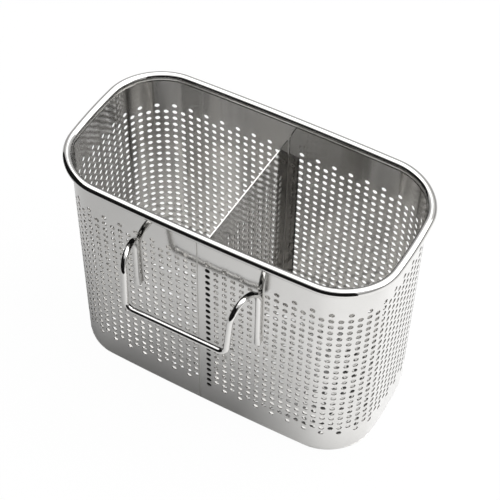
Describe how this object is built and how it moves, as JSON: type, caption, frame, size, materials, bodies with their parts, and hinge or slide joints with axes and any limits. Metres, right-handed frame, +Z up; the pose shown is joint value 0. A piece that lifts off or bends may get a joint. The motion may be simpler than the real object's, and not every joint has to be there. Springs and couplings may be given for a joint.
{
  "type": "dish drainer",
  "caption": "Divided dish and cutlery drainer: a perforated stainless steel basket with a rounded wire rim, a welded divider and a bent wire hook on its front for hanging.",
  "frame": {"origin": "middle of the basket's flat underside, with the hook left out of the count", "axes": "+X along the basket's length, to the right for someone facing the hook; +Y from the hook side to the back; +Z up"},
  "size_m": [0.2, 0.1251, 0.15],
  "materials": {
    "sheet": "brushed stainless sheet, satin",
    "wire": "polished stainless wire, mirror bright",
    "weld": "ground and pickled weld, dull"
  },
  "bodies": {
    "root": {"basket_wall": "sheet", "floor_panel": "sheet", "divider": "sheet", "rim_wire": "wire", "hook_wire": "wire", "seam_weld": "weld", "rim_weld": "weld", "hook_weld_left": "weld", "hook_weld_right": "weld", "divider_spot_front_lower": "weld", "divider_spot_front_upper": "weld", "divider_spot_back_lower": "weld", "divider_spot_back_upper": "weld"}
  },
  "joints": []
}
